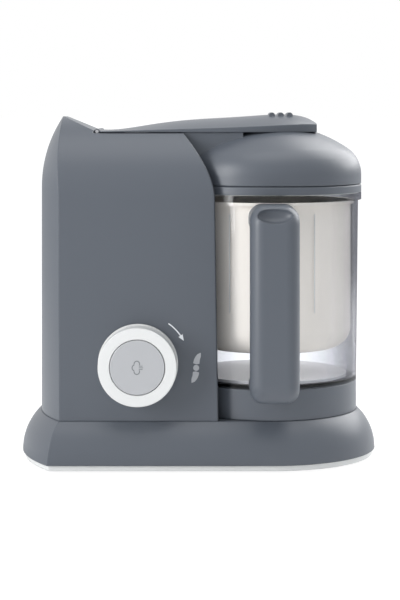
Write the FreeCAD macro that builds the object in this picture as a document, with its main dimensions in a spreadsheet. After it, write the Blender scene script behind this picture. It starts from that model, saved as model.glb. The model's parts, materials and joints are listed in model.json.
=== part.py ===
import FreeCAD
import Part
import math
import os
import Sketcher

Vector = FreeCAD.Vector
doc = FreeCAD.newDocument("baby_food_maker")

# Driving sizes in millimetres: name, value, meaning.
SIZES = [
    ("overall_width", 259.0, "left end of the skirt to its right end"),
    ("base_end_r", 77.7, "right end of the skirt about the bowl axis, and half its depth"),
    ("left_bow_r", 139.5, "radius of the bowed left end of the skirt in plan"),
    ("base_flare", 13.0, "how far the skirt spreads below the deck"),
    ("skirt_z", 6.4, "lower edge of the skirt"),
    ("deck_z", 35.0, "top of the base"),
    ("deck_t", 4.0, "thickness of the deck"),
    ("base_wall", 3.0, "wall of the skirt"),
    ("plate_t", 4.0, "bottom plate"),
    ("plate_inset", 1.8, "bottom plate inside the skirt"),
    ("foot_r", 8.0, "rubber foot"),
    ("foot_left", 37.5, "left feet from the left end"),
    ("foot_right", 26.2, "right feet beyond the bowl axis"),
    ("foot_half", 45.0, "feet from the middle line"),
    ("screw_r", 3.0, "screw head under the plate"),
    ("screw_t", 1.4, "height of that head"),
    ("screw_left", 59.5, "left screws from the left end"),
    ("screw_right", 11.8, "right screws short of the bowl axis"),
    ("screw_left_edge", 17.9, "left screws from the plate's long edge"),
    ("screw_right_edge", 13.9, "right screws from that edge"),
    ("seam_step", 0.7, "step from base to housing"),
    ("house_draft", 1.5, "lean of the front and back faces"),
    ("house_wall", 2.6, "wall of the housing"),
    ("crown_wall", 5.0, "wall of the housing under its rounded shoulders"),
    ("crown_inset", 13.0, "upper room inside the lower one at the left"),
    ("room_drop", 4.5, "top of the lower room below the shoulders"),
    ("shoulder_z", 190.5, "where front and back start to curve in"),
    ("shoulder_r", 60.0, "radius of that curve"),
    ("left_shoulder_z", 198.0, "where the left side starts to curve in"),
    ("left_shoulder_r", 92.0, "radius of that curve"),
    ("house_top_z", 237.3, "flat top of the housing"),
    ("ramp_x", -76.0, "foot of the ramp beside the hinge"),
    ("ramp_low_z", 239.5, "ramp foot height"),
    ("peak_x", -98.5, "top of the ramp"),
    ("peak_z", 249.4, "height of the peak"),
    ("cove_r", 74.5, "hollow in the housing round the bowl"),
    ("cover_y", 46.0, "split between housing and rear cover"),
    ("cover_gap", 0.2, "gap at that split"),
    ("vent_w", 50.0, "width of a vent slot"),
    ("vent_h", 3.0, "height of a vent slot"),
    ("vent_pitch", 8.0, "from one vent slot to the next"),
    ("vent_rise", 25.0, "lowest vent slot over the deck"),
    ("gland_x", 74.5, "cord gland and vents from the left end"),
    ("gland_rise", 13.0, "cord gland over the deck"),
    ("gland_bore", 3.5, "cord gland bore radius"),
    ("gland_r", 6.0, "cord gland body radius"),
    ("gland_flange", 3.0, "cord gland flange over its body"),
    ("gland_in", 8.0, "cord gland inside the rear face"),
    ("gland_out", 6.0, "cord gland behind the rear face"),
    ("tank_x", -46.5, "water tank centre"),
    ("tank_r", 17.0, "water tank inside radius"),
    ("tank_depth", 58.0, "water tank depth"),
    ("tank_wall", 0.9, "water tank wall"),
    ("tank_floor", 1.0, "water tank floor"),
    ("tank_lip", 2.5, "water tank lip over the wall"),
    ("tank_lip_t", 0.4, "thickness of that lip"),
    ("tank_hole", 0.3, "hole in the housing round the tank"),
    ("heater_h", 6.0, "heating ring height"),
    ("heater_in", 9.0, "heating ring inside radius"),
    ("heater_w", 6.0, "heating ring width"),
    ("bracket_rise", 13.0, "motor bracket over the deck"),
    ("bracket_t", 4.0, "motor bracket"),
    ("bracket_side", 1.0, "motor bracket inside the can's sides"),
    ("bracket_front", 3.0, "motor bracket beyond the can in front and behind"),
    ("bracket_hole", 8.0, "hole in the motor bracket"),
    ("post_r", 4.0, "posts of the motor bracket"),
    ("post_edge", 1.0, "posts from the bracket's edge"),
    ("motor_x", -69.25, "motor axis, in the middle of its room"),
    ("motor_r", 27.0, "motor can radius"),
    ("motor_h", 60.0, "motor can height"),
    ("motor_wall", 2.5, "motor can wall"),
    ("motor_shaft_r", 3.0, "motor shaft"),
    ("armature_in", 6.0, "armature inside the can's side and floor"),
    ("armature_drop", 8.0, "armature below the can's top"),
    ("motor_pulley_r", 9.0, "belt radius at the motor"),
    ("pulley_ratio", 3.0, "driven pulley to motor pulley"),
    ("pulley_rise", 4.6, "pulleys over the bottom plate"),
    ("pulley_h", 10.0, "pulley height"),
    ("pulley_lip", 1.5, "pulley rim thickness"),
    ("pulley_rim", 2.0, "pulley rim over the belt radius"),
    ("pulley_hole", 3.0, "hole in the deck round the motor pulley"),
    ("belt_t", 1.6, "belt thickness"),
    ("belt_gap", 0.3, "belt from the pulleys"),
    ("belt_side", 0.5, "belt from the pulley rims"),
    ("shaft_r", 4.0, "drive shaft and blade shaft"),
    ("shaft_low", 1.0, "drive shaft below its pulley"),
    ("bearing_r", 16.0, "bearing flange"),
    ("bearing_neck", 11.0, "hole for the bearing in the deck"),
    ("bearing_rise", 1.5, "bearing over the pulley"),
    ("dog_r", 14.0, "driving dogs"),
    ("dog_lug_h", 5.5, "teeth of the dogs"),
    ("dog_tooth_in", 6.0, "inner end of those teeth"),
    ("dog_tooth_edge", 1.0, "teeth inside the dogs' edge"),
    ("dog_t", 2.6, "plate of the upper dog"),
    ("dog_rise", 2.5, "lower dog over the deck"),
    ("dog_gap", 0.5, "clearance above and below the dogs' teeth"),
    ("seat_r", 46.0, "outside of the bowl seat"),
    ("seat_w", 8.0, "width of the bowl seat"),
    ("seat_h", 7.5, "height of the bowl seat"),
    ("bayonet_h", 3.0, "height of a bayonet lug"),
    ("bayonet_w", 4.0, "seat lug over the seat"),
    ("bayonet_gap", 1.0, "ring lug from the seat"),
    ("bayonet_rise", 1.0, "ring lug over the deck"),
    ("lug_root", 1.0, "root of a bayonet lug in what carries it"),
    ("bowl_top_r", 65.6, "jar outside at the rim"),
    ("bowl_low_r", 64.2, "jar outside at the ring"),
    ("jar_wall", 2.4, "jar wall"),
    ("jar_floor", 3.0, "jar floor"),
    ("rim_z", 193.5, "top of the jar"),
    ("rim_h", 4.8, "height of the jar rim"),
    ("rim_r", 68.0, "jar rim outside"),
    ("ledge_drop", 7.5, "basket ledge below the rim"),
    ("ledge_w", 1.6, "width of the basket ledge"),
    ("ring_top_z", 56.8, "top of the grey ring under the jar"),
    ("ring_wall", 10.2, "wall of that ring"),
    ("ring_floor", 3.2, "floor of that ring"),
    ("ring_foot", 0.3, "ring over the deck"),
    ("bush_r", 9.0, "shaft bush"),
    ("bush_flange", 4.8, "bush flange inside the jar"),
    ("bush_flange_t", 2.0, "thickness of that flange"),
    ("basket_r", 60.0, "basket outside"),
    ("basket_z", 80.0, "underside of the basket"),
    ("basket_corner_r", 16.0, "rounded lower edge of the basket"),
    ("basket_wall", 2.0, "basket wall"),
    ("basket_flange", 2.4, "basket flange thickness"),
    ("drain_r", 1.7, "drain holes of the basket"),
    ("drain_in", 12.0, "innermost ring of drain holes"),
    ("drain_pitch", 11.0, "between the rings of drain holes"),
    ("handle_reach", 110.0, "front of the handle from the bowl axis"),
    ("handle_w", 34.0, "handle width"),
    ("handle_t", 15.0, "handle thickness"),
    ("handle_top_z", 188.2, "top of the handle"),
    ("handle_low_z", 52.5, "lower end of the handle"),
    ("handle_top_r", 13.0, "upper bend of the handle"),
    ("handle_low_r", 15.0, "lower bend of the handle"),
    ("handle_in_r", 8.0, "bends of the finger gap"),
    ("handle_top_t", 14.0, "upper arm of the handle"),
    ("handle_low_t", 12.0, "lower arm of the handle"),
    ("handle_edge_r", 9.5, "rounded front edges of the handle"),
    ("handle_fit", 0.1, "handle from the jar wall"),
    ("blade_reach", 41.0, "blade tip radius"),
    ("blade_t", 1.6, "blade thickness"),
    ("blade_root", 12.5, "half width of the blade at the hub"),
    ("blade_shoulder", 10.0, "half width of the blade beside the hub"),
    ("blade_front", 8.0, "leading shoulder from the hub"),
    ("blade_rear", 14.0, "trailing shoulder from the hub"),
    ("blade_tip_in", 2.0, "blade tip behind its axis"),
    ("blade_tip_out", 7.0, "blade tip ahead of its axis"),
    ("blade_rise", 2.2, "blade over the bush"),
    ("hub_r", 10.0, "blade hub at the blade"),
    ("hub_top_r", 7.5, "blade hub at its top"),
    ("hub_h", 14.2, "blade hub over the bush"),
    ("hub_cap", 2.0, "blade hub over its shaft"),
    ("hub_gap", 0.6, "blade hub from the bush"),
    ("lid_r", 68.0, "lid radius"),
    ("lid_z", 194.0, "lower edge of the lid"),
    ("lid_seam_z", 200.4, "line round the lid"),
    ("lid_rim_in", 12.0, "width of the lid rim"),
    ("dome_shoulder_z", 207.0, "start of the dome curve"),
    ("lid_seam", 0.2, "gap at the line round the lid"),
    ("lid_chamfer", 1.0, "chamfer at that line"),
    ("seal_w", 3.0, "lid seal width"),
    ("seal_in", 1.5, "lid seal from the lid's edge"),
    ("seal_groove", 1.8, "depth of the seal's groove"),
    ("seal_fit", 0.1, "seal from its groove and the jar"),
    ("liner_t", 2.0, "lid liner"),
    ("liner_gap", 0.3, "lid liner from the dome"),
    ("steam_hole_r", 3.0, "steam holes in the liner"),
    ("steam_ring_r", 20.0, "circle of the steam holes"),
    ("dome_rise", 36.8, "dome height above its shoulder"),
    ("dome_corner_r", 23.0, "shoulder curve of the dome"),
    ("dome_wall", 2.4, "dome wall"),
    ("neck_gap", 0.6, "neck of the lid from the cove"),
    ("neck_inset", 1.4, "neck inside the arm's sides"),
    ("neck_h", 32.0, "height of the neck"),
    ("neck_reach", 20.0, "right end of the neck from the bowl axis"),
    ("arm_z", 238.0, "underside of the lid arm"),
    ("arm_half_w", 39.4, "half width of the lid arm"),
    ("arm_tip_x", 86.0, "right tip of the lid arm"),
    ("arm_tip_half_w", 24.0, "half width near the tip"),
    ("arm_start", 2.4, "left end of the arm from the hinge axis"),
    ("arm_second", 10.5, "second section of the arm right of the tank centre"),
    ("arm_third", 51.8, "third section short of the bowl axis"),
    ("arm_fourth", 0.8, "fourth section short of the bowl axis"),
    ("arm_fifth", 18.2, "fifth section beyond the bowl axis"),
    ("arm_fourth_wider", 4.0, "fourth section over the mean half width"),
    ("arm_fifth_wider", 5.0, "fifth section over the tip's half width"),
    ("arm_tip_narrower", 6.0, "rounded end inside the tip's half width"),
    ("rib_r", 2.2, "grip ribs on the arm"),
    ("rib_w", 26.0, "length of the grip ribs"),
    ("rib_pitch", 6.5, "from one grip rib to the next"),
    ("rib_x", 1.7, "first grip rib beyond the bowl axis"),
    ("rib_rise", 12.0, "grip ribs over the arm's underside"),
    ("hinge_x", -73.6, "lid hinge axis"),
    ("hinge_z", 238.6, "lid hinge axis height"),
    ("hinge_pin_r", 1.2, "lid hinge pin"),
    ("knuckle_r", 1.8, "hinge knuckle and lug eye"),
    ("knuckle_w", 52.0, "hinge knuckle along its axis"),
    ("knuckle_web", 0.9, "web from knuckle to arm"),
    ("knuckle_reach", 3.4, "length of that web"),
    ("lug_w", 6.0, "hinge lug along the axis"),
    ("lug_gap", 1.0, "hinge lug from the knuckle"),
    ("tank_seal_w", 3.0, "tank seal width"),
    ("tank_seal_in", 5.0, "tank seal inside the tank's wall"),
    ("tank_seal_h", 4.0, "tank seal height"),
    ("knob_x", -42.9, "control centre"),
    ("knob_z", 75.4, "control centre height"),
    ("knob_r", 27.4, "control ring outside"),
    ("button_r", 19.0, "round button"),
    ("button_t", 3.4, "round button thickness"),
    ("button_stem_r", 2.85, "button stem"),
    ("button_proud", 0.4, "button in front of the control ring"),
    ("button_stem_in", 10.0, "button stem inside the front face"),
    ("knob_stand", 18.0, "control face in front of the housing"),
    ("knob_web", 3.0, "web inside the control ring"),
    ("knob_back", 2.3, "control ring in front of the housing"),
    ("spindle_r", 6.6, "control spindle"),
    ("spindle_bore", 3.2, "bore of that spindle"),
    ("spindle_in", 12.0, "control spindle inside the front face"),
    ("bezel_r", 28.2, "bezel behind the control"),
    ("bezel_in", 20.0, "bezel inside radius"),
    ("bezel_t", 2.0, "bezel thickness"),
    ("bezel_sink", 0.1, "bezel behind the front face"),
    ("button_travel", 2.0, "button stroke"),
    ("switch_half", 12.0, "half width of the selector switch"),
    ("switch_back", 26.0, "back of the switch from the front face"),
    ("switch_t", 12.0, "depth of the switch"),
    ("board_t", 1.6, "control board"),
    ("board_left", 28.0, "control board left of the control"),
    ("board_right", 23.0, "control board right of the control"),
    ("board_low", 24.0, "control board below the control"),
    ("board_high", 70.0, "control board above the control"),
    ("board_post_r", 3.0, "posts of the control board"),
    ("board_post_edge", 4.0, "posts from the board's edge"),
    ("gap", 0.4, "clearance between moving pieces"),
    ("fit", 0.06, "clearance of shafts in their bores"),
    ("press", 0.02, "clearance of pieces pressed on a shaft"),
    ("seat_fit", 0.05, "clearance of bushes in their holes"),
    ("skirt_cut", 0.01, "inner form of the skirt below the outer one"),
    ("over", 8.0, "how far a cutting shape runs past what it cuts"),
]
# The shoulders end where this share of their radius has been climbed.
SHOULDER_SIN, SHOULDER_COS = 0.98, 0.199
LEFT_SIN, LEFT_COS = 0.6, 0.8
VENTS = 6
DRAIN_RINGS = (6, 12, 18)
STEAM_HOLES = 6
LUG_TURNS = (90, 210, 330)
TOOTH_TURN = 60
# Edge height and crest height of the arm's sections over its underside, from hinge to tip.
ARM_HEIGHTS = [(0.7, 1.6), (1.6, 5.3), (2.6, 9.3), (4.6, 12.5), (5.4, 12.4), (5.6, 6.8)]
GRIP_RIBS = 3
DOG_WIDTH, BAYONET_WIDTH = 28, 30


class Size:
    """A length that knows both its formula and its present value."""

    def __init__(self, text, value):
        self.text = text
        self.value = float(value)

    @staticmethod
    def of(item):
        return item if isinstance(item, Size) else Size("(%.6g)" % item, item)

    def _join(self, other, sign, value):
        return Size("(%s %s %s)" % (self.text, sign, other.text), value)

    def __add__(self, other):
        other = Size.of(other)
        return self._join(other, "+", self.value + other.value)

    def __sub__(self, other):
        other = Size.of(other)
        return self._join(other, "-", self.value - other.value)

    def __mul__(self, other):
        other = Size.of(other)
        return self._join(other, "*", self.value * other.value)

    def __truediv__(self, other):
        other = Size.of(other)
        return self._join(other, "/", self.value / other.value)

    def __radd__(self, other):
        return Size.of(other) + self

    def __rsub__(self, other):
        return Size.of(other) - self

    def __rmul__(self, other):
        return Size.of(other) * self

    def __neg__(self):
        return Size("(-1 * %s)" % self.text, -self.value)

    def root(self):
        return Size("sqrt(%s)" % self.text, math.sqrt(self.value))


class Sheet:
    """The spreadsheet, with each alias as an attribute."""

    def __init__(self):
        sheet = doc.addObject("Spreadsheet::Sheet", "Sizes")
        for row, (alias, value, meaning) in enumerate(SIZES, start=1):
            sheet.set("A%d" % row, str(value))
            sheet.setAlias("A%d" % row, alias)
            sheet.set("B%d" % row, meaning)
            setattr(self, alias, Size("Sizes." + alias, value))


s = Sheet()
doc.recompute()

# Plan, about the bowl axis.
half_w = s.overall_width / 2
bowl_x = half_w - s.base_end_r
axis_y = (s.handle_reach - s.base_end_r) / 2
left_cx = s.left_bow_r - half_w - bowl_x
deck_r = s.base_end_r - s.base_flare
cave_r = s.cove_r + s.house_wall
inner_bow = s.left_bow_r - s.base_flare - s.seam_step - s.house_wall
gland_x = s.gland_x - half_w

# Heights of what turns under the bowl, and of its floor and ledge.
floor_z = s.ring_top_z + s.jar_floor
ledge_z = s.rim_z - s.ledge_drop
pulley_z = s.skirt_z + s.pulley_rise
pulley_top = pulley_z + s.pulley_h
dog_top = s.ring_top_z - s.ring_floor - s.dog_gap
dog_low = dog_top - s.dog_t
lug_low = dog_low - s.dog_lug_h
drive_top = lug_low - s.dog_gap
PARTS = []


def place(obj, x=0, y=0, z=0):
    for name, size in (("x", x), ("y", y), ("z", z)):
        obj.setExpression(".Placement.Base." + name, Size.of(size).text)


def new_body(label, at_bowl=True):
    body = doc.addObject("PartDesign::Body", label)
    body.Label = label
    place(body, bowl_x if at_bowl else 0, axis_y)
    return body


def sketch(body, plane, x=0, y=0, lift=0):
    drawing = body.newObject("Sketcher::SketchObject", body.Name + "_sketch")
    support = [f for f in body.Origin.OriginFeatures if f.Role == plane + "_Plane"][0]
    drawing.AttachmentSupport = [(support, "")]
    drawing.MapMode = "FlatFace"
    for name, size in (("x", x), ("y", y), ("z", lift)):
        drawing.setExpression(".AttachmentOffset.Base." + name, Size.of(size).text)
    return drawing


def pin_point(drawing, geo, pos, x, y):
    for kind, size in (("DistanceX", x), ("DistanceY", y)):
        index = drawing.addConstraint(Sketcher.Constraint(kind, -1, 1, geo, pos, size.value))
        drawing.setExpression("Constraints[%d]" % index, size.text)


def outline(drawing, corners):
    """Closed outline; a corner is (x, y) or (x, y, r), where r rounds the run to the next corner.

    A positive r bends to the left of the way round, a negative r to the right.
    """
    points = [(Size.of(c[0]), Size.of(c[1])) for c in corners]
    runs = []
    for i, corner in enumerate(corners):
        a = Vector(points[i][0].value, points[i][1].value, 0)
        nxt = points[(i + 1) % len(points)]
        b = Vector(nxt[0].value, nxt[1].value, 0)
        if len(corner) == 2:
            runs.append((drawing.addGeometry(Part.LineSegment(a, b)), 1, 2))
            continue
        radius = Size.of(corner[2])
        r = abs(radius.value)
        turn = 1 if radius.value > 0 else -1
        half = (b - a) * 0.5
        side = Vector(-half.y, half.x, 0).normalize() * turn
        centre = a + half + side * math.sqrt(max(r * r - half.Length ** 2, 0))
        start = math.atan2(a.y - centre.y, a.x - centre.x)
        end = math.atan2(b.y - centre.y, b.x - centre.x)
        circle = Part.Circle(centre, Vector(0, 0, 1), r)
        if turn > 0:
            geo = drawing.addGeometry(Part.ArcOfCircle(circle, start, end))
            runs.append((geo, 1, 2))
        else:
            geo = drawing.addGeometry(Part.ArcOfCircle(circle, end, start))
            runs.append((geo, 2, 1))
        index = drawing.addConstraint(Sketcher.Constraint("Radius", geo, r))
        drawing.setExpression("Constraints[%d]" % index, (radius * turn).text)
    for i, run in enumerate(runs):
        after = runs[(i + 1) % len(runs)]
        drawing.addConstraint(Sketcher.Constraint("Coincident", run[0], run[2], after[0], after[1]))
        pin_point(drawing, run[0], run[1], points[i][0], points[i][1])


def circle(drawing, x, y, r):
    x, y, r = Size.of(x), Size.of(y), Size.of(r)
    geo = drawing.addGeometry(Part.Circle(Vector(x.value, y.value, 0), Vector(0, 0, 1), r.value))
    pin_point(drawing, geo, 3, x, y)
    index = drawing.addConstraint(Sketcher.Constraint("Radius", geo, r.value))
    drawing.setExpression("Constraints[%d]" % index, r.text)


def box_corners(x0, x1, y0, y1):
    return [(x0, y0), (x1, y0), (x1, y1), (x0, y1)]


def feature(body, kind, drawing, length=None, reverse=False, midplane=False):
    made = body.newObject("PartDesign::" + kind, body.Name + "_" + kind.lower())
    made.Profile = drawing
    drawing.Visibility = False
    if kind in ("Revolution", "Groove"):
        made.ReferenceAxis = (drawing, ["V_Axis"])
        made.Angle = 360
        return made
    if length is None:
        made.Type = "ThroughAll"
    else:
        made.setExpression("Length", Size.of(length).text)
    made.Midplane = midplane
    made.Reversed = reverse
    return made


def pad(body, plane, corners, length, lift=0, x=0, y=0, reverse=False, midplane=False):
    drawing = sketch(body, plane, x, y, lift)
    outline(drawing, corners)
    return feature(body, "Pad", drawing, length, reverse, midplane)


def pocket(body, plane, corners, length=None, lift=0, x=0, y=0, reverse=False, midplane=False):
    drawing = sketch(body, plane, x, y, lift)
    outline(drawing, corners)
    return feature(body, "Pocket", drawing, length, reverse, midplane)


def disc(body, kind, rounds, length=None, lift=0, reverse=False, plane="XY", midplane=False):
    drawing = sketch(body, plane, 0, 0, lift)
    for x, y, r in rounds:
        circle(drawing, x, y, r)
    return feature(body, kind, drawing, length, reverse, midplane)


def turned(body, corners, kind="Revolution", plane="XZ", x=0, y=0):
    drawing = sketch(body, plane, x, y)
    outline(drawing, corners)
    return feature(body, kind, drawing)


def round_edges(body, radius, wanted):
    """Fillet the edges of the newest feature that wanted(edge) picks."""
    doc.recompute()
    base = body.Tip
    names = [
        "Edge%d" % (i + 1)
        for i, edge in enumerate(base.Shape.Edges)
        if wanted(edge)
    ]
    if not names:
        raise RuntimeError("no edge to round on " + body.Label)
    made = body.newObject("PartDesign::Fillet", body.Name + "_fillet")
    made.Base = (base, names)
    made.setExpression("Radius", Size.of(radius).text)
    doc.recompute()


def combine(kind, label, first, second):
    made = doc.addObject("Part::" + kind, label)
    made.Label = label
    made.Base = first
    made.Tool = second
    return made


def keep(obj):
    PARTS.append(obj)
    return obj


def group(label, shapes):
    made = doc.addObject("Part::Feature", label)
    made.Label = label
    made.Shape = Part.makeCompound(shapes)
    return keep(made)


def bar(r, x, y, z0, z1):
    """Upright round bar in the common frame."""
    return Part.makeCylinder(r, z1 - z0, Vector(x, y, z0))


# Base: skirt, plate, feet and screws.
def skirt_form(label, inset, low_z, high_z):
    body = new_body(label)
    wide = s.base_end_r - inset
    narrow = wide - s.base_flare
    rise = high_z - low_z
    flare_r = (rise * rise + s.base_flare * s.base_flare) / (s.base_flare * 2)
    reach = bowl_x + half_w + s.over
    pad(body, "YZ", [
        (-wide, low_z), (wide, low_z, flare_r), (narrow, high_z), (-narrow, high_z, flare_r),
    ], reach, lift=-reach)
    turned(body, [(0, low_z), (wide, low_z, flare_r), (narrow, high_z), (0, high_z)])
    left = s.left_bow_r - inset
    turned(body, [
        (left, low_z - s.over), (left + s.base_end_r, low_z - s.over),
        (left + s.base_end_r, high_z + s.over), (left - s.base_flare, high_z + s.over),
        (left - s.base_flare, high_z, -flare_r), (left, low_z),
    ], "Groove", x=left_cx)
    return body


base_outer = skirt_form("base_outer", Size.of(0), s.skirt_z, s.deck_z)
base_inner = skirt_form("base_inner", s.base_wall, s.skirt_z - s.skirt_cut, s.deck_z - s.deck_t)
base_hollow = combine("Cut", "base_hollow", base_outer, base_inner)
base_holes = new_body("base_holes")
motor_local = s.motor_x - bowl_x
pulley_room = s.motor_pulley_r + s.pulley_rim + s.pulley_hole
disc(base_holes, "Pad", [(0, 0, s.bearing_neck), (motor_local, 0, pulley_room)], s.deck_t * 3,
     lift=s.deck_z - s.deck_t * 2)
base_shell = keep(combine("Cut", "base_shell", base_hollow, base_holes))

plate = keep(new_body("bottom_plate"))
plate_half = s.base_end_r - s.plate_inset
plate_bow = s.left_bow_r - s.plate_inset
plate_end = left_cx - (plate_bow * plate_bow - plate_half * plate_half).root()
pad(plate, "XY", [
    (plate_end, -plate_half), (0, -plate_half, plate_half), (plate_half, 0, plate_half), (0, plate_half),
    (plate_end, plate_half, plate_bow),
], s.plate_t, lift=s.skirt_z - s.plate_t)

axis = axis_y.value
plate_low = (s.skirt_z - s.plate_t).value


def mirrored(x, half):
    """A spot in front of the middle line and one behind it, in the common frame."""
    return [(x.value, axis - half.value), (x.value, axis + half.value)]


foot_spots = mirrored(s.foot_left - half_w, s.foot_half) + mirrored(bowl_x + s.foot_right, s.foot_half)
group("rubber_feet", [bar(s.foot_r.value, x, y, 0, plate_low) for x, y in foot_spots])
screw_spots = mirrored(s.screw_left - half_w, plate_half - s.screw_left_edge)
screw_spots += mirrored(bowl_x - s.screw_right, plate_half - s.screw_right_edge)
screw_low = plate_low - s.screw_t.value
group("plate_screws", [bar(s.screw_r.value, x, y, screw_low, plate_low) for x, y in screw_spots])

# Housing: a column with rounded shoulders, a hollow side for the bowl and a ramp at its left top.
house_outer = new_body("house_outer")
house_low = deck_r - s.seam_step
house_high = house_low - s.house_draft
crown_z = s.shoulder_z + s.shoulder_r * SHOULDER_SIN
crown_y = house_high - s.shoulder_r * (1 - SHOULDER_COS)
house_reach = bowl_x + half_w + s.over
pad(house_outer, "YZ", [
    (-house_low, s.deck_z), (house_low, s.deck_z), (house_high, s.shoulder_z, s.shoulder_r),
    (crown_y, crown_z), (-crown_y, crown_z, s.shoulder_r), (-house_high, s.shoulder_z),
], house_reach, lift=-house_reach)
house_left = inner_bow + s.house_wall
far_left = house_left + s.base_end_r
lean_x = house_left - s.left_shoulder_r * (1 - LEFT_COS)
lean_z = s.left_shoulder_z + s.left_shoulder_r * LEFT_SIN
turned(house_outer, [
    (house_left, s.deck_z - s.over), (far_left, s.deck_z - s.over), (far_left, lean_z + s.over * 2),
    (lean_x - s.over, lean_z + s.over * 2), (lean_x, lean_z, -s.left_shoulder_r),
    (house_left, s.left_shoulder_z),
], "Groove", x=left_cx)
ramp_foot = s.ramp_x - bowl_x
ramp_slope = (s.peak_z - s.ramp_low_z) / (s.ramp_x - s.peak_x)
ramp_end_z = s.ramp_low_z + ramp_slope * (ramp_foot + house_reach)
pocket(house_outer, "XZ", [
    (-house_reach, ramp_end_z), (ramp_foot, s.ramp_low_z), (ramp_foot, s.house_top_z),
    (s.over, s.house_top_z), (s.over, ramp_end_z + s.over), (-house_reach, ramp_end_z + s.over),
], s.base_end_r * 4, midplane=True)
disc(house_outer, "Pocket", [(0, 0, s.cove_r)], ramp_end_z * 2, lift=s.deck_z - s.over, reverse=True)
house_inner = new_body("house_inner")
inner_half = house_high - s.house_wall
room_top = s.shoulder_z - s.room_drop
climb = s.house_top_z - s.shoulder_z
crown_run = s.shoulder_r - (s.shoulder_r * s.shoulder_r - climb * climb).root()
crown_half = house_high - crown_run - s.crown_wall
for half, bow, low_z, high_z in (
    (inner_half, inner_bow, s.deck_z - s.over, room_top),
    (crown_half, inner_bow - s.crown_inset, room_top - s.house_wall, s.house_top_z - s.house_wall),
):
    right = -(cave_r * cave_r - half * half).root()
    left = left_cx - (bow * bow - half * half).root()
    pad(house_inner, "XY", [(left, -half), (right, -half, -cave_r), (right, half), (left, half, bow)],
        high_z - low_z, lift=low_z)
house_hollow = combine("Cut", "house_hollow", house_outer, house_inner)
house_holes = new_body("house_holes", False)
tank_hole = sketch(house_holes, "XY", lift=s.house_top_z - s.house_wall - s.over)
circle(tank_hole, s.tank_x, 0, s.tank_r + s.tank_wall + s.tank_hole)
feature(house_holes, "Pad", tank_hole, s.house_wall + s.over * 2)
spindle_hole = sketch(house_holes, "XZ", lift=deck_r - s.spindle_in)
circle(spindle_hole, s.knob_x, s.knob_z, s.spindle_r + s.gap)
feature(house_holes, "Pad", spindle_hole, s.spindle_in + s.over)
hinge_trough = sketch(house_holes, "XZ")
circle(hinge_trough, s.hinge_x, s.hinge_z, s.knuckle_r + s.gap)
feature(house_holes, "Pad", hinge_trough, s.knuckle_w + s.gap * 2, midplane=True)
house_open = combine("Cut", "house_open", house_hollow, house_holes)
front_half = doc.addObject("Part::Box", "front_half")
rear_half = doc.addObject("Part::Box", "rear_half")
split_y = axis_y + s.cover_y
for box, y in ((front_half, split_y - s.overall_width), (rear_half, split_y + s.cover_gap)):
    box.setExpression("Length", (s.overall_width * 2).text)
    box.setExpression("Width", s.overall_width.text)
    box.setExpression("Height", (s.overall_width * 2).text)
    place(box, -s.overall_width, y, 0)
housing = keep(combine("Common", "housing_shell", house_open, front_half))
rear_plain = combine("Common", "rear_plain", house_open, rear_half)
vents = new_body("vent_slots", False)
for i in range(VENTS):
    vent_z = s.deck_z + s.vent_rise + s.vent_pitch * i
    pad(vents, "XZ", box_corners(gland_x - s.vent_w / 2, gland_x + s.vent_w / 2, vent_z, vent_z + s.vent_h),
        s.base_end_r - s.cover_y, lift=-s.base_end_r)
gland_z = s.deck_z + s.gland_rise
gland_cut = sketch(vents, "XZ", lift=-s.base_end_r)
circle(gland_cut, gland_x, gland_z, s.gland_r + s.seat_fit)
feature(vents, "Pad", gland_cut, s.base_end_r - s.cover_y)
rear_cover = keep(combine("Cut", "rear_cover", rear_plain, vents))

# Water tank and heater.
tank = keep(new_body("water_tank", False))
tank_low = s.house_top_z - s.tank_depth
tank_out = s.tank_r + s.tank_wall
lip_top = s.house_top_z + s.tank_lip_t
turned(tank, [
    (0, tank_low), (tank_out, tank_low), (tank_out, s.house_top_z), (tank_out + s.tank_lip, s.house_top_z),
    (tank_out + s.tank_lip, lip_top), (s.tank_r, lip_top), (s.tank_r, tank_low + s.tank_floor),
    (0, tank_low + s.tank_floor),
], x=s.tank_x)
heater = keep(new_body("heating_element", False))
heater_out = s.heater_in + s.heater_w
heater_low = tank_low - s.heater_h
turned(heater, [
    (s.heater_in, heater_low), (heater_out, heater_low), (heater_out, tank_low), (s.heater_in, tank_low),
], x=s.tank_x)

# Motor, belt and drive under the bowl.
mount_z = s.deck_z + s.bracket_rise
bracket_x = s.motor_r - s.bracket_side
bracket_y = s.motor_r + s.bracket_front
bracket = keep(new_body("motor_bracket", False))
pad(bracket, "XY", box_corners(s.motor_x - bracket_x, s.motor_x + bracket_x, -bracket_y, bracket_y),
    s.bracket_t, lift=mount_z)
post_x = bracket_x - s.post_r - s.post_edge
post_y = bracket_y - s.post_r - s.post_edge
posts = [(s.motor_x + post_x * x, post_y * y, s.post_r) for x in (-1, 1) for y in (-1, 1)]
disc(bracket, "Pad", posts, mount_z - s.deck_z, lift=s.deck_z)
disc(bracket, "Pocket", [(s.motor_x, 0, s.bracket_hole)], s.bracket_t * 3, lift=mount_z - s.bracket_t,
    reverse=True)
can_z = mount_z + s.bracket_t
can_top = can_z + s.motor_h
can_in = s.motor_r - s.motor_wall
can_hole = s.motor_shaft_r + s.fit
can = keep(new_body("motor_can", False))
turned(can, [
    (can_hole, can_z), (s.motor_r, can_z), (s.motor_r, can_top), (0, can_top), (0, can_top - s.motor_wall),
    (can_in, can_top - s.motor_wall), (can_in, can_z + s.motor_wall), (can_hole, can_z + s.motor_wall),
], x=s.motor_x)
armature = keep(new_body("motor_armature", False))
core_r = s.motor_r - s.armature_in
core_low, core_top = can_z + s.armature_in, can_top - s.armature_drop
turned(armature, [
    (0, pulley_z), (s.motor_shaft_r, pulley_z), (s.motor_shaft_r, core_low), (core_r, core_low),
    (core_r, core_top), (0, core_top),
], x=s.motor_x)


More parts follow.
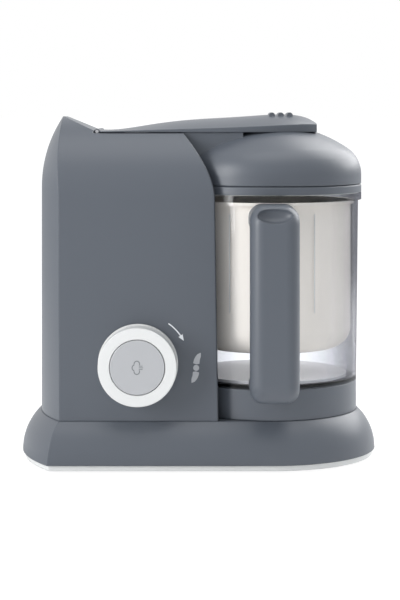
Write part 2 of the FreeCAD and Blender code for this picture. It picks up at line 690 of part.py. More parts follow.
def pulley(label, shaft_r, radius, x):
    body = keep(new_body(label, False))
    bore = shaft_r + s.press
    rim = radius + s.pulley_rim
    groove_low, groove_top = pulley_z + s.pulley_lip, pulley_top - s.pulley_lip
    turned(body, [
        (bore, pulley_z), (rim, pulley_z), (rim, groove_low), (radius, groove_low), (radius, groove_top),
        (rim, groove_top), (rim, pulley_top), (bore, pulley_top),
    ], x=x)


driven_r = s.motor_pulley_r * s.pulley_ratio
pulley("motor_pulley", s.motor_shaft_r, s.motor_pulley_r, s.motor_x)
pulley("driven_pulley", s.shaft_r, driven_r, bowl_x)
shaft = keep(new_body("drive_shaft"))
shaft_low = pulley_z - s.shaft_low
turned(shaft, [(0, shaft_low), (s.shaft_r, shaft_low), (s.shaft_r, drive_top), (0, drive_top)])
bearing = keep(new_body("shaft_bearing"))
deck_low = s.deck_z - s.deck_t
bearing_low = pulley_top + s.bearing_rise
shaft_hole = s.shaft_r + s.fit
neck = s.bearing_neck - s.seat_fit
turned(bearing, [
    (shaft_hole, bearing_low), (s.bearing_r, bearing_low), (s.bearing_r, deck_low), (neck, deck_low),
    (neck, s.deck_z), (shaft_hole, s.deck_z),
])
belt_z = (pulley_z + s.pulley_lip + s.belt_side).value
belt_h = (pulley_top - s.pulley_lip - s.belt_side).value - belt_z


def loop(radius_a, radius_b):
    """Solid inside a belt line round both pulleys."""
    xa, xb = s.motor_x.value, bowl_x.value
    lean = math.asin((radius_b - radius_a) / (xb - xa))
    sin, cos = math.sin(lean), math.cos(lean)
    a = [Vector(xa - radius_a * sin, axis + k * radius_a * cos, belt_z) for k in (-1, 1)]
    b = [Vector(xb - radius_b * sin, axis + k * radius_b * cos, belt_z) for k in (-1, 1)]
    edges = [
        Part.LineSegment(a[0], b[0]).toShape(),
        Part.Arc(b[0], Vector(xb + radius_b, axis, belt_z), b[1]).toShape(),
        Part.LineSegment(b[1], a[1]).toShape(),
        Part.Arc(a[1], Vector(xa - radius_a, axis, belt_z), a[0]).toShape(),
    ]
    return Part.Face(Part.Wire(edges)).extrude(Vector(0, 0, belt_h))


small, large = (s.motor_pulley_r + s.belt_gap).value, (driven_r + s.belt_gap).value
belt_t = s.belt_t.value
group("drive_belt", [loop(small + belt_t, large + belt_t).cut(loop(small, large))])


def sector(inner, outer, middle, width):
    """Four corners of a lug between two radii, with rounded long sides."""
    r0, r1 = inner.value, outer.value
    a0, a1 = math.radians(middle - width / 2), math.radians(middle + width / 2)
    return [
        (r0 * math.cos(a0), r0 * math.sin(a0)), (r1 * math.cos(a0), r1 * math.sin(a0), r1),
        (r1 * math.cos(a1), r1 * math.sin(a1)), (r0 * math.cos(a1), r0 * math.sin(a1), -r0),
    ]


drive_dog = keep(new_body("drive_dog"))
dog_bore = s.shaft_r + s.press
dog_foot = s.deck_z + s.dog_rise
turned(drive_dog, [(dog_bore, dog_foot), (s.dog_r, dog_foot), (s.dog_r, drive_top), (dog_bore, drive_top)])
blade_dog = keep(new_body("blade_dog"))
turned(blade_dog, [(dog_bore, dog_low), (s.dog_r, dog_low), (s.dog_r, dog_top), (dog_bore, dog_top)])
seat = keep(new_body("bowl_seat"))
seat_in = s.seat_r - s.seat_w
seat_top = s.deck_z + s.seat_h
turned(seat, [(seat_in, s.deck_z), (s.seat_r, s.deck_z), (s.seat_r, seat_top), (seat_in, seat_top)])
ring = keep(new_body("bowl_ring"))
ring_in = s.bowl_low_r - s.ring_wall
ring_low = s.deck_z + s.ring_foot
ring_floor = s.ring_top_z - s.ring_floor
bush_hole = s.bush_r + s.seat_fit
turned(ring, [
    (ring_in, ring_low), (s.bowl_low_r, ring_low), (s.bowl_low_r, s.ring_top_z), (bush_hole, s.ring_top_z),
    (bush_hole, ring_floor), (ring_in, ring_floor),
])
tooth_out = s.dog_r - s.dog_tooth_edge
for turn in LUG_TURNS:
    pad(drive_dog, "XY", sector(s.dog_tooth_in, tooth_out, turn, DOG_WIDTH), s.dog_lug_h, lift=drive_top)
    pad(blade_dog, "XY", sector(s.dog_tooth_in, tooth_out, turn + TOOTH_TURN, DOG_WIDTH), s.dog_lug_h,
        lift=lug_low)
    pad(seat, "XY", sector(s.seat_r - s.lug_root, s.seat_r + s.bayonet_w, turn, BAYONET_WIDTH), s.bayonet_h,
        lift=seat_top - s.bayonet_h)
    pad(ring, "XY", sector(s.seat_r + s.bayonet_gap, ring_in + s.lug_root, turn, BAYONET_WIDTH),
        s.bayonet_h, lift=s.deck_z + s.bayonet_rise)

# Bowl: jar, basket, handle, blade.
jar = keep(new_body("bowl_jar"))
jar_in = s.bowl_top_r - s.jar_wall
jar_low_in = s.bowl_low_r - s.jar_wall
rim_low = s.rim_z - s.rim_h
turned(jar, [
    (bush_hole, s.ring_top_z), (s.bowl_low_r, s.ring_top_z), (s.bowl_top_r, rim_low), (s.rim_r, rim_low),
    (s.rim_r, s.rim_z), (jar_in, s.rim_z), (jar_in, ledge_z), (jar_in - s.ledge_w, ledge_z),
    (jar_low_in, floor_z), (bush_hole, floor_z),
])
bush = keep(new_body("shaft_bush"))
flange_r = jar_low_in - s.bush_flange
bush_top = floor_z + s.bush_flange_t
turned(bush, [
    (shaft_hole, ring_floor), (s.bush_r, ring_floor), (s.bush_r, floor_z), (flange_r, floor_z),
    (flange_r, bush_top), (shaft_hole, bush_top),
])
basket = keep(new_body("steam_basket"))
wall = s.basket_wall
corner = s.basket_corner_r
flange_top = ledge_z + s.basket_flange
turned(basket, [
    (0, s.basket_z), (s.basket_r - corner, s.basket_z, corner), (s.basket_r, s.basket_z + corner),
    (s.basket_r, ledge_z), (jar_in - s.gap, ledge_z), (jar_in - s.gap, flange_top),
    (s.basket_r - wall, flange_top), (s.basket_r - wall, s.basket_z + corner, wall - corner),
    (s.basket_r - corner, s.basket_z + wall), (0, s.basket_z + wall),
])
drain = []
for row, count in enumerate(DRAIN_RINGS):
    radius = (s.drain_in + s.drain_pitch * row).value
    for i in range(count):
        turn = 2 * math.pi * i / count
        drain.append((radius * math.cos(turn), radius * math.sin(turn), s.drain_r))
disc(basket, "Pocket", drain, s.over * 2, lift=s.basket_z - s.over, reverse=True)
handle = keep(new_body("bowl_handle"))
front = -s.handle_reach
inside = front + s.handle_t
top = s.handle_top_z
low = s.handle_low_z
root = s.over - s.bowl_top_r
gap_top, gap_low = top - s.handle_top_t, low + s.handle_low_t
bend = s.handle_in_r
pad(handle, "YZ", [
    (root, top), (front + s.handle_top_r, top, s.handle_top_r), (front, top - s.handle_top_r),
    (front, low + s.handle_low_r, s.handle_low_r), (front + s.handle_low_r, low), (root, low),
    (root, gap_low), (inside + bend, gap_low, -bend), (inside, gap_low + bend),
    (inside, gap_top - bend, -bend), (inside + bend, gap_top), (root, gap_top),
], s.handle_w, midplane=True)
disc(handle, "Pocket", [(0, 0, s.bowl_top_r + s.handle_fit)], s.rim_z * 2, reverse=True)
front_near, level = (front + s.gap).value, s.press.value
round_edges(handle, s.handle_edge_r, lambda e: e.BoundBox.YMin < front_near and e.BoundBox.XLength < level)
blade_shaft = keep(new_body("blade_shaft"))
hub_top = bush_top + s.hub_h
shaft_top = hub_top - s.hub_cap
turned(blade_shaft, [(0, dog_low), (s.shaft_r, dog_low), (s.shaft_r, shaft_top), (0, shaft_top)])
hub = keep(new_body("blade_hub"))
hub_low = bush_top + s.hub_gap
turned(hub, [
    (dog_bore, hub_low), (s.hub_r, hub_low), (s.hub_top_r, hub_top), (0, hub_top), (0, shaft_top),
    (dog_bore, shaft_top),
])
knife = keep(new_body("blade_knife"))
blade_z = bush_top + s.blade_rise
half_blade = [
    (-s.blade_tip_out, -s.blade_reach), (s.blade_tip_in, -s.blade_reach), (s.blade_shoulder, -s.blade_rear),
    (s.blade_root, Size.of(0)), (s.blade_shoulder, s.blade_front),
]
pad(knife, "XY", half_blade + [(-x, -y) for x, y in half_blade], s.blade_t, lift=blade_z)
disc(knife, "Pocket", [(0, 0, s.hub_r + s.press)], s.blade_t * 3, lift=blade_z - s.blade_t, reverse=True)

# Lid: dome with neck, rim, liner, seals and arm.
dome = keep(new_body("lid_dome"))


def dome_profile(inset, low_z):
    radius = s.lid_r - inset
    rise = s.dome_rise - inset
    small_r = s.dome_corner_r - inset
    reach, climb_r = radius - small_r, rise - small_r
    c = (reach * reach - climb_r * climb_r) / (climb_r * 2)
    crown = c + rise
    meet = crown / (crown - small_r)
    return [
        (0, low_z), (radius, low_z), (radius, s.dome_shoulder_z, small_r),
        (reach * meet, s.dome_shoulder_z - c + c * meet, crown), (0, s.dome_shoulder_z + rise),
    ]


turned(dome, dome_profile(Size.of(0), s.lid_seam_z))
neck_r = s.cove_r - s.neck_gap
neck_half = s.arm_half_w - s.neck_inset
neck_x = -(neck_r * neck_r - neck_half * neck_half).root()
pad(dome, "XY", [
    (-s.neck_reach, -neck_half), (-s.neck_reach, neck_half), (neck_x, neck_half, neck_r),
    (neck_x, -neck_half),
], s.neck_h, lift=s.arm_z - s.neck_h)
turned(dome, dome_profile(s.dome_wall, s.lid_seam_z - s.over), "Groove")
pocket(dome, "XY", box_corners(-s.cove_r, s.cove_r, -s.cove_r, s.cove_r), s.dome_rise, lift=s.arm_z,
    reverse=True)
rim = keep(new_body("lid_rim"))
rim_in = s.lid_r - s.lid_rim_in
seal_out = s.lid_r - s.seal_in
seal_in = seal_out - s.seal_w
groove_z = s.lid_z + s.seal_groove
rim_top = s.lid_seam_z - s.lid_seam
turned(rim, [
    (rim_in, s.lid_z), (seal_in - s.seal_fit, s.lid_z), (seal_in - s.seal_fit, groove_z),
    (seal_out + s.seal_fit, groove_z), (seal_out + s.seal_fit, s.lid_z), (s.lid_r, s.lid_z),
    (s.lid_r, rim_top - s.lid_chamfer), (s.lid_r - s.lid_chamfer, rim_top), (rim_in, rim_top),
])
seal = keep(new_body("lid_seal"))
seal_low = s.rim_z + s.seal_fit
turned(seal, [(seal_in, seal_low), (seal_out, seal_low), (seal_out, groove_z), (seal_in, groove_z)])
liner = keep(new_body("lid_liner"))
liner_r = s.lid_r - s.dome_wall - s.liner_gap
liner_top = rim_top + s.liner_t
turned(liner, [(0, rim_top), (liner_r, rim_top), (liner_r, liner_top), (0, liner_top)])
steam_turns = [2 * math.pi * i / STEAM_HOLES for i in range(STEAM_HOLES)]
steam_r = s.steam_ring_r.value
steam_holes = [(steam_r * math.cos(turn), steam_r * math.sin(turn), s.steam_hole_r) for turn in steam_turns]
disc(liner, "Pocket", steam_holes, s.over * 2, lift=rim_top - s.over, reverse=True)
tank_seal = keep(new_body("tank_seal", False))
tank_seal_in = s.tank_r - s.tank_seal_in
tank_seal_out = tank_seal_in + s.tank_seal_w
tank_seal_low = s.arm_z - s.tank_seal_h
turned(tank_seal, [
    (tank_seal_in, tank_seal_low), (tank_seal_out, tank_seal_low), (tank_seal_out, s.arm_z),
    (tank_seal_in, s.arm_z),
], x=s.tank_x)

# The arm is lofted through sections from hinge to tip.
mean_half = (s.arm_half_w + s.arm_tip_half_w) / 2
sections = [
    (s.hinge_x + s.arm_start, s.arm_half_w), (s.tank_x + s.arm_second, s.arm_half_w),
    (bowl_x - s.arm_third, s.arm_half_w), (bowl_x - s.arm_fourth, mean_half + s.arm_fourth_wider),
    (bowl_x + s.arm_fifth, s.arm_tip_half_w + s.arm_fifth_wider),
    (s.arm_tip_x, s.arm_tip_half_w - s.arm_tip_narrower),
]
arm_low = s.arm_z.value
wires = []
for (section_x, section_half), (edge, crest) in zip(sections, ARM_HEIGHTS):
    x, half = section_x.value, section_half.value
    low_a, low_b = Vector(x, axis - half, arm_low), Vector(x, axis + half, arm_low)
    high_a, high_b = Vector(x, axis - half, arm_low + edge), Vector(x, axis + half, arm_low + edge)
    wires.append(Part.Wire([
        Part.LineSegment(low_a, low_b).toShape(), Part.LineSegment(low_b, high_b).toShape(),
        Part.Arc(high_b, Vector(x, axis, arm_low + crest), high_a).toShape(),
        Part.LineSegment(high_a, low_a).toShape(),
    ]))
arm = Part.makeLoft(wires, True, False)


def cross_bar(r, width, x, z, y=None):
    """Round bar across the arm, about the middle line unless y gives its front end."""
    start = axis - width / 2 if y is None else y
    return Part.makeCylinder(r, width, Vector(x, start, z), Vector(0, 1, 0))


for i in range(GRIP_RIBS):
    rib_x = (bowl_x + s.rib_x + s.rib_pitch * i).value
    arm = arm.fuse(cross_bar(s.rib_r.value, s.rib_w.value, rib_x, (s.arm_z + s.rib_rise).value))
hx, hz, pin_r = s.hinge_x.value, s.hinge_z.value, s.hinge_pin_r.value
knuckle_r, knuckle_w = s.knuckle_r.value, s.knuckle_w.value
web_t = s.knuckle_web.value
knuckle = cross_bar(knuckle_r, knuckle_w, hx, hz)
web = Part.makeBox(s.knuckle_reach.value, knuckle_w, web_t,
    Vector(hx, axis - knuckle_w / 2, hz - web_t / 2))
pin_w = knuckle_w + 2 * (s.lug_gap + s.lug_w).value
through = pin_w + 2 * s.over.value
arm = arm.fuse(knuckle.fuse(web)).cut(cross_bar(pin_r + s.seat_fit.value, through, hx, hz))
group("lid_arm", arm.Solids)
group("hinge_pin", [cross_bar(pin_r, pin_w, hx, hz)])
pin_hole = cross_bar(pin_r + s.press.value, through, hx, hz)
lug_w = s.lug_w.value
lug_z = s.house_top_z.value
lugs = []
for y in (axis - pin_w / 2, axis + pin_w / 2 - lug_w):
    stem = Part.makeBox(knuckle_r * 2, lug_w, hz - lug_z, Vector(hx - knuckle_r, y, lug_z))
    below = Part.makeBox(knuckle_r * 2, lug_w, knuckle_r, Vector(hx - knuckle_r, y, lug_z - knuckle_r))
    eye = cross_bar(knuckle_r, lug_w, hx, hz, y)
    lugs += stem.fuse(eye).cut(pin_hole).cut(below).removeSplitter().Solids
group("hinge_lugs", lugs)


# Controls on the front, turned about the line of sight.
def control(label):
    body = keep(new_body(label, False))
    place(body, s.knob_x, axis_y, s.knob_z)
    return body


face = s.seam_step - deck_r
front_y = face - s.knob_stand
back_y = face - s.knob_back
web_y = back_y - s.knob_web
bezel = control("knob_bezel")
bezel_y = face + s.bezel_sink
turned(bezel, [
    (s.bezel_in, bezel_y - s.bezel_t), (s.bezel_r, bezel_y - s.bezel_t), (s.bezel_r, bezel_y),
    (s.bezel_in, bezel_y),
], plane="XY")
dial = control("control_ring")
dial_in = s.button_r + s.gap
spindle_y = face + s.spindle_in
turned(dial, [
    (dial_in, front_y), (s.knob_r, front_y), (s.knob_r, back_y), (s.spindle_r, back_y),
    (s.spindle_r, spindle_y), (s.spindle_bore, spindle_y), (s.spindle_bore, web_y), (dial_in, web_y),
], plane="XY")
button = control("steam_button")
button_y = front_y - s.button_proud
button_back = button_y + s.button_t
stem_y = face + s.button_stem_in - s.button_travel
turned(button, [
    (0, button_y), (s.button_r, button_y), (s.button_r, button_back), (s.button_stem_r, button_back),
    (s.button_stem_r, stem_y), (0, stem_y),
], plane="XY")
switch = control("selector_switch")
switch_y = face + s.switch_back
pad(switch, "XZ", box_corners(-s.switch_half, s.switch_half, -s.switch_half, s.switch_half), s.switch_t,
    lift=-switch_y)
board = control("control_board")
pad(board, "XZ", box_corners(-s.board_left, s.board_right, -s.board_low, s.board_high), s.board_t,
    lift=-(switch_y + s.board_t))
post_in = s.board_post_edge
board_posts = [
    (x, z, s.board_post_r)
    for x in (post_in - s.board_left, s.board_right - post_in)
    for z in (post_in - s.board_low, s.board_high - post_in)
]
disc(board, "Pad", board_posts, inner_half + switch_y, lift=-switch_y, plane="XZ")
gland = keep(new_body("cord_gland", False))
place(gland, gland_x, axis_y, gland_z)
gland_low, gland_high = -face - s.gland_in, s.gland_out - face
flange = s.gland_r + s.gland_flange
turned(gland, [
    (s.gland_bore, gland_low), (s.gland_r, gland_low), (s.gland_r, -face), (flange, -face),
    (flange, gland_high), (s.gland_bore, gland_high),
], plane="XY")

doc.recompute()
os.makedirs("parts", exist_ok=True)
for obj in doc.Objects:
    if "Invalid" in obj.State or "Error" in obj.State:
        raise RuntimeError("%s is not built: %s" % (obj.Label, obj.State))
for obj in PARTS:
    if obj.Shape.isNull() or not obj.Shape.isValid() or not obj.Shape.Solids:
        raise RuntimeError("bad shape: " + obj.Label)
    obj.Shape.exportStep(os.path.join("parts", obj.Label + ".step"))
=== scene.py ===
import json
import math

import bpy
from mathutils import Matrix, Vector


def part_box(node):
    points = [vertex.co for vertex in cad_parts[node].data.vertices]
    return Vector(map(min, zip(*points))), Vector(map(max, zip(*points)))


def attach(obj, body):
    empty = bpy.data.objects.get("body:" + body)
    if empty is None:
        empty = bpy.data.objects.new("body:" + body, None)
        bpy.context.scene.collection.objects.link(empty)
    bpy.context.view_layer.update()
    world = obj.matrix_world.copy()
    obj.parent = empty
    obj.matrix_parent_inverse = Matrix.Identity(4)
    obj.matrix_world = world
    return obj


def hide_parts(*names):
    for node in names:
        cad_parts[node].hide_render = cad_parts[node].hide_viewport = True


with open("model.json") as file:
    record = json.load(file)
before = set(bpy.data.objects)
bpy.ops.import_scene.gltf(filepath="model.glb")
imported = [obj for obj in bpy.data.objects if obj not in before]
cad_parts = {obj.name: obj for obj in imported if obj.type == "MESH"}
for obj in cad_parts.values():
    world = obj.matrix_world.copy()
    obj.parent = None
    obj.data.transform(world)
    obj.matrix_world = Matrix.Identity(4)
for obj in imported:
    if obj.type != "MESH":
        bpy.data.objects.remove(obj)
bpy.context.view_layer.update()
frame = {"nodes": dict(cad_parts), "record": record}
nodes = frame["nodes"]
scene = bpy.context.scene
scene.view_settings.view_transform = "Standard"

MM = 0.001


# Materials.
def principled(name, colour, roughness, metallic=0.0, **extra):
    material = bpy.data.materials.new(name)
    material.use_nodes = True
    shader = material.node_tree.nodes["Principled BSDF"]
    shader.inputs["Base Color"].default_value = (*colour, 1)
    shader.inputs["Roughness"].default_value = roughness
    shader.inputs["Metallic"].default_value = metallic
    for socket, value in extra.items():
        shader.inputs[socket.replace("_", " ")].default_value = value
    return material


def larger(tree, first, second):
    """The larger of two values."""
    node = tree.nodes.new("ShaderNodeMath")
    node.operation = "MAXIMUM"
    tree.links.new(first, node.inputs[0])
    tree.links.new(second, node.inputs[1])
    return node.outputs[0]


def mixed(tree, share, first, second):
    """Two shaders, with the given share of the second."""
    node = tree.nodes.new("ShaderNodeMixShader")
    tree.links.new(share, node.inputs["Fac"])
    tree.links.new(first, node.inputs[1])
    tree.links.new(second, node.inputs[2])
    return node.outputs[0]


def see_through(tree, colour=(1, 1, 1)):
    node = tree.nodes.new("ShaderNodeBsdfTransparent")
    node.inputs["Color"].default_value = (*colour, 1)
    return node.outputs[0]


GRAIN_DEPTH = 0.05
EDGE_SAMPLES = 6


def grain(material, scale, strength, edge=0.0):
    """Fine moulded grain, as a bump from a noise texture, over edges that shade as rounded."""
    tree = material.node_tree
    noise = tree.nodes.new("ShaderNodeTexNoise")
    noise.inputs["Scale"].default_value = scale
    place = tree.nodes.new("ShaderNodeTexCoord")
    bump = tree.nodes.new("ShaderNodeBump")
    bump.inputs["Strength"].default_value = strength
    bump.inputs["Distance"].default_value = GRAIN_DEPTH * MM
    if edge:
        soft = tree.nodes.new("ShaderNodeBevel")
        soft.samples = EDGE_SAMPLES
        soft.inputs["Radius"].default_value = edge * MM
        tree.links.new(soft.outputs["Normal"], bump.inputs["Normal"])
    tree.links.new(place.outputs["Object"], noise.inputs["Vector"])
    tree.links.new(noise.outputs["Fac"], bump.inputs["Height"])
    tree.links.new(bump.outputs["Normal"], tree.nodes["Principled BSDF"].inputs["Normal"])
    return material


EDGE_ON_BLEND = 0.28
FACE_TINT = (0.965, 0.97, 0.985)
# Painted shade for the jar's walls where seen edge on: a darker tint and a darker colour seen through
# them.
EDGE_SHADE_TINT = (0.36, 0.37, 0.43)
EDGE_PAINTED_SHADE = (0.3, 0.3, 0.34)


def lets_light_in(material):
    """Painted shade where seen edge on: a darker tint and a darker colour seen through the wall; shadow
    and diffuse rays pass straight through to what is behind.
    """
    tree = material.node_tree
    shader = tree.nodes["Principled BSDF"]
    weight = tree.nodes.new("ShaderNodeLayerWeight")
    weight.inputs["Blend"].default_value = EDGE_ON_BLEND
    edge_on = weight.outputs["Facing"]
    # Painted shade: the wall's colour darkens towards edge on.
    tint = tree.nodes.new("ShaderNodeValToRGB")
    tint.color_ramp.elements[0].color = (*FACE_TINT, 1)
    tint.color_ramp.elements[1].color = (*EDGE_SHADE_TINT, 1)
    tree.links.new(edge_on, tint.inputs["Fac"])
    tree.links.new(tint.outputs["Color"], shader.inputs["Base Color"])
    # Painted shade: edge on, part of the wall is a darker see-through colour.
    wall = mixed(tree, edge_on, shader.outputs[0], see_through(tree, EDGE_PAINTED_SHADE))
    ray = tree.nodes.new("ShaderNodeLightPath").outputs
    passes = larger(tree, ray["Is Shadow Ray"], ray["Is Diffuse Ray"])
    surface = mixed(tree, passes, wall, see_through(tree))
    tree.links.new(surface, tree.nodes["Material Output"].inputs["Surface"])
    return material


MATERIALS = {
    "grey": grain(principled("grey", (0.088, 0.099, 0.118), 0.4), 2500, 0.12, 1.2),
    "white": grain(principled("white", (0.74, 0.74, 0.73), 0.3), 1500, 0.05, 1.2),
    "rubber": principled("rubber", (0.03, 0.03, 0.03), 0.8),
    "clear": lets_light_in(principled("clear", FACE_TINT, 0.03, Transmission_Weight=1.0, IOR=1.3)),
    "cream": grain(principled("cream", (0.92, 0.865, 0.79), 0.55), 900, 0.1),
    "silver": grain(principled("silver", (0.47, 0.475, 0.49), 0.38, 0.6), 1800, 0.1, 0.8),
    "steel": principled("steel", (0.58, 0.58, 0.6), 0.28, 1.0),
    "black": principled("black", (0.03, 0.03, 0.033), 0.5),
    "brass": principled("brass", (0.7, 0.52, 0.26), 0.35, 1.0),
    "board": principled("board", (0.03, 0.2, 0.09), 0.5),
    "silicone": principled("silicone", (0.7, 0.7, 0.69), 0.6),
}
PRINT_LIGHT = principled("print_light", (0.8, 0.82, 0.84), 0.5)
PRINT_DARK = principled("print_dark", (0.2, 0.21, 0.22), 0.5)
PRINT_GREY = principled("print_grey", (0.42, 0.43, 0.45), 0.5)

for part in frame["record"]["subparts"]:
    node = nodes[part["node"]]
    node.data.materials.clear()
    node.data.materials.append(MATERIALS[part["material_slot"]])
nodes["shaft_bush"].data.materials[0] = grain(principled("bush", (0.58, 0.58, 0.6), 0.22), 700, 0.1)


def solid(name, outlines, depth, to_place, material, body):
    """Flat shapes given by outlines in millimetres, thickened by depth and put in place point by point."""
    points = []
    faces = []
    for shape in outlines:
        start = len(points)
        count = len(shape)
        points += [to_place(x, y, 0) for x, y in shape] + [to_place(x, y, depth) for x, y in shape]
        faces.append([start + i for i in range(count)])
        faces.append([start + count + i for i in reversed(range(count))])
        for i in range(count):
            j = (i + 1) % count
            faces.append([start + i, start + count + i, start + count + j, start + j])
    mesh = bpy.data.meshes.new(name)
    mesh.from_pydata([Vector(p) * MM for p in points], [], faces)
    mesh.materials.append(material)
    piece = bpy.data.objects.new(name, mesh)
    scene.collection.objects.link(piece)
    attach(piece, body)
    return piece


# Places read from the frame, and sizes, in millimetres.
def middle(node):
    low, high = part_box(node)
    return (Vector(low) + Vector(high)) / 2 / MM


knob = middle("control_ring")
button_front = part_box("steam_button")[0][1] / MM
house_low = Vector(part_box("housing_shell")[0]) / MM
jar = middle("bowl_jar")
HOUSE_LEAN, LEAN_HEIGHT = 1.5, 155.5
PRINT_T = 0.12
PRINT_GAP = 0.02


def on_front(x, z, depth):
    """A point of the leaning front face, a little proud of it."""
    lean = HOUSE_LEAN / LEAN_HEIGHT * (z - house_low.z)
    return (x, house_low.y + lean - PRINT_GAP - depth, z)


def arc(radius, start, end, steps=14):
    turns = [math.radians(start + (end - start) * i / steps) for i in range(steps + 1)]
    return [(radius * math.cos(t), radius * math.sin(t)) for t in turns]


def moved(shape, x, y):
    return [(x + px, y + py) for px, py in shape]


DOT_SIDES = 24


def round_dot(x, y, radius):
    return moved(arc(radius, 0, 360 - 360 / DOT_SIDES, DOT_SIDES - 1), x, y)


# The turning arrow beside the control.
SIGN_SHIFT = 1.6
ARROW_R = 34.6
ARROW_START, ARROW_NECK, ARROW_TIP = 55.0, 35.0, 28.0
STROKE = 0.4
HEAD_HALF = 1.8


def at_turn(radius, turn):
    return arc(radius, turn, turn, 1)[0]


shaft = arc(ARROW_R + STROKE, ARROW_START, ARROW_NECK)
shaft += list(reversed(arc(ARROW_R - STROKE, ARROW_START, ARROW_NECK)))
head = [
    at_turn(ARROW_R + HEAD_HALF, ARROW_NECK),
    at_turn(ARROW_R, ARROW_TIP),
    at_turn(ARROW_R - HEAD_HALF, ARROW_NECK),
]
arrow = [moved(shape, knob.x + SIGN_SHIFT, knob.z) for shape in (shaft, head)]
solid("turn_arrow", arrow, PRINT_T, on_front, PRINT_LIGHT, "machine")

# The blade sign: a hub and two swept wings.
BLADE_X, BLADE_Z = -2.0, 72.6
BLADE_HUB_R = 2.1
WING = [
    (0.1, 2.5), (2.3, 2.8), (2.5, 5.3), (3.3, 7.9), (3.3, 10.6),
    (1.05, 9.7), (-0.6, 7.8), (-1.6, 5.6), (-2.1, 3.3),
]


def wing(side):
    return [(BLADE_X + side * x, BLADE_Z + side * z) for x, z in WING]


blade = [wing(1), wing(-1), round_dot(BLADE_X, BLADE_Z, BLADE_HUB_R)]
solid("blade_sign", blade, PRINT_T, on_front, PRINT_GREY, "machine")

# The steam sign on the button: a small cloud lying on its side, with three lines of steam.
CLOUD_STROKE = 0.35
PUFF_X, PUFF_Z, PUFF_R = -0.2, 2.7, 1.9
CROWN_X, CROWN_R = -1.4, 2.1
STEAM_X, STEAM_T = 1.2, 0.5
STEAM_LINES = [(0.9, 2.6), (-0.25, 3.0), (-1.4, 2.6)]


def on_button(x, z, depth):
    return (knob.x + x, button_front - PRINT_GAP - depth, knob.z + z)


def band(radius, start, end, x, y):
    """A stroke along part of a circle."""
    outer = arc(radius + CLOUD_STROKE, start, end)
    inner = arc(radius - CLOUD_STROKE, start, end)
    return moved(outer + list(reversed(inner)), x, y)


def bar(x, y, width, height):
    return [(x, y), (x + width, y), (x + width, y + height), (x, y + height)]


cloud = [
    band(PUFF_R, -30, 190, PUFF_X, PUFF_Z),
    band(CROWN_R, 105, 255, CROWN_X, 0),
    band(PUFF_R, 170, 390, PUFF_X, -PUFF_Z),
]
cloud += [bar(STEAM_X, low, length, STEAM_T) for low, length in STEAM_LINES]
solid("steam_sign", cloud, PRINT_T, on_button, PRINT_DARK, "button")

# The handle with its thumb hollow, in place of the plain one.
HOLLOW_Z = 182.6
HOLLOW_IN = 2.3
HOLLOW_HALF = (12.5, 6.0, 6.0)
HOLLOW_SIDES = 48
LIP_WIDTH = 0.8
LIP_STEPS = 3
LIP_ANGLE = 35
handle_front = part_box("bowl_handle")[0][1] / MM
grip = bpy.data.objects.new("handle_grip", nodes["bowl_handle"].data.copy())
scene.collection.objects.link(grip)
bpy.ops.mesh.primitive_uv_sphere_add(
    segments=HOLLOW_SIDES, ring_count=HOLLOW_SIDES // 2, radius=MM,
    location=Vector((jar.x, handle_front + HOLLOW_IN, HOLLOW_Z)) * MM)
cutter = bpy.context.object
cutter.scale = HOLLOW_HALF
hollow = grip.modifiers.new("hollow", "BOOLEAN")
hollow.operation = "DIFFERENCE"
hollow.solver = "EXACT"
hollow.object = cutter
lip = grip.modifiers.new("lip", "BEVEL")
lip.width = LIP_WIDTH * MM
lip.segments = LIP_STEPS
lip.limit_method = "ANGLE"
lip.angle_limit = math.radians(LIP_ANGLE)
shaped = bpy.data.meshes.new_from_object(grip.evaluated_get(bpy.context.evaluated_depsgraph_get()))
grip.modifiers.clear()
grip.data = shaped
bpy.data.objects.remove(cutter)
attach(grip, "bowl")
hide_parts("bowl_handle")

# Upright ribs inside the jar, each side of the handle.
RIB_TURN = 29.0
RIB_R = 61.0
RIB_HALF = 0.4
RIB_T = 0.5
RIB_LOW, RIB_HIGH = 110.0, 180.0


def rib(side):
    turn = math.radians(RIB_TURN) * side

    def at(x, z, depth):
        reach = RIB_R + depth
        return (jar.x + reach * math.sin(turn) + x * math.cos(turn),
                jar.y - reach * math.cos(turn) + x * math.sin(turn), z)

    shape = bar(-RIB_HALF, RIB_LOW, 2 * RIB_HALF, RIB_HIGH - RIB_LOW)
    return solid("jar_rib_%d" % (side + 2), [shape], RIB_T, at, MATERIALS["silicone"], "bowl")


for side in (-1, 1):
    rib(side)

# Floor: nearly white to the camera, and it keeps the object's shadow.
FLOOR_SIZE, FLOOR_BACK = 60, 20
FLOOR_GLOW = 1.2
FLOOR_GLOW_SHARE = 0.8
bpy.ops.mesh.primitive_plane_add(size=FLOOR_SIZE, location=(0, FLOOR_BACK, 0))
floor = bpy.context.object
floor.name = "floor"
floor_look = principled("floor", (0.9, 0.9, 0.9), 0.8)
tree = floor_look.node_tree
glow = tree.nodes.new("ShaderNodeEmission")
glow.inputs["Strength"].default_value = FLOOR_GLOW
share = tree.nodes.new("ShaderNodeMath")
share.operation = "MULTIPLY"
share.inputs[1].default_value = FLOOR_GLOW_SHARE
tree.links.new(tree.nodes.new("ShaderNodeLightPath").outputs["Is Camera Ray"], share.inputs[0])
surface = mixed(tree, share.outputs[0], tree.nodes["Principled BSDF"].outputs[0], glow.outputs[0])
tree.links.new(surface, tree.nodes["Material Output"].inputs["Surface"])
floor.data.materials.append(floor_look)

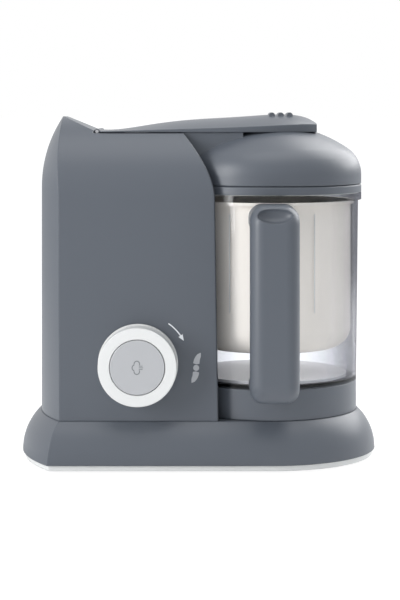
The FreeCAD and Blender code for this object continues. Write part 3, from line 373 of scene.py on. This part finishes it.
# World: white where it is seen, mirrored or looked at through the jar, and a soft light elsewhere.
SKY_COLOUR = (0.9, 0.95, 1.0)
SKY_STRENGTH = 0.52
scene.world = bpy.data.worlds.new("studio")
scene.world.use_nodes = True
tree = scene.world.node_tree
sky = tree.nodes["Background"]
sky.inputs["Color"].default_value = (*SKY_COLOUR, 1)
sky.inputs["Strength"].default_value = SKY_STRENGTH
white = tree.nodes.new("ShaderNodeBackground")
white.inputs["Color"].default_value = (1, 1, 1, 1)
white.inputs["Strength"].default_value = 1.0
ray = tree.nodes.new("ShaderNodeLightPath").outputs
seen = larger(tree, ray["Is Camera Ray"], ray["Is Glossy Ray"])
seen = larger(tree, seen, ray["Is Transmission Ray"])
surface = mixed(tree, seen, sky.outputs[0], white.outputs[0])
tree.links.new(surface, tree.nodes["World Output"].inputs["Surface"])


# Lamps: place and aim in metres, width, height and power in watts.
def lamp(name, place, aim, width, height, power):
    light = bpy.data.lights.new(name, "AREA")
    light.shape = "RECTANGLE"
    light.size = width
    light.size_y = height
    light.energy = power
    thing = bpy.data.objects.new(name, light)
    thing.location = place
    thing.rotation_euler = (Vector(aim) - Vector(place)).to_track_quat("-Z", "Y").to_euler()
    scene.collection.objects.link(thing)


lamp("left", (-1.2, -0.8, 0.55), (0, 0, 0.12), 0.5, 1.0, 15)
lamp("top", (0.1, -0.3, 1.4), (0, 0, 0.1), 1.2, 0.9, 6)
lamp("rim", (0.8, 0.6, 0.85), (0.05, 0, 0.2), 1.0, 1.1, 16)

# The camera stands level with the lid, straight in front, and its frame is shifted down.
FRAME_W, FRAME_H = 400, 600
AXIS_PX = (199, 110)
DISTANCE = 1290 * MM
EYE_Z = 254 * MM
PX_AT_AXIS = 0.74 * MM
eye = bpy.data.cameras.new("camera")
eye.sensor_width = 36
eye.lens = DISTANCE / PX_AT_AXIS / FRAME_H * eye.sensor_width
eye.shift_x = (FRAME_W / 2 - AXIS_PX[0]) / FRAME_H
eye.shift_y = (AXIS_PX[1] - FRAME_H / 2) / FRAME_H
camera = bpy.data.objects.new("camera", eye)
camera.location = (0, jar.y * MM - DISTANCE, EYE_Z)
camera.rotation_euler = (math.radians(90), 0, 0)
scene.collection.objects.link(camera)
scene.camera = camera
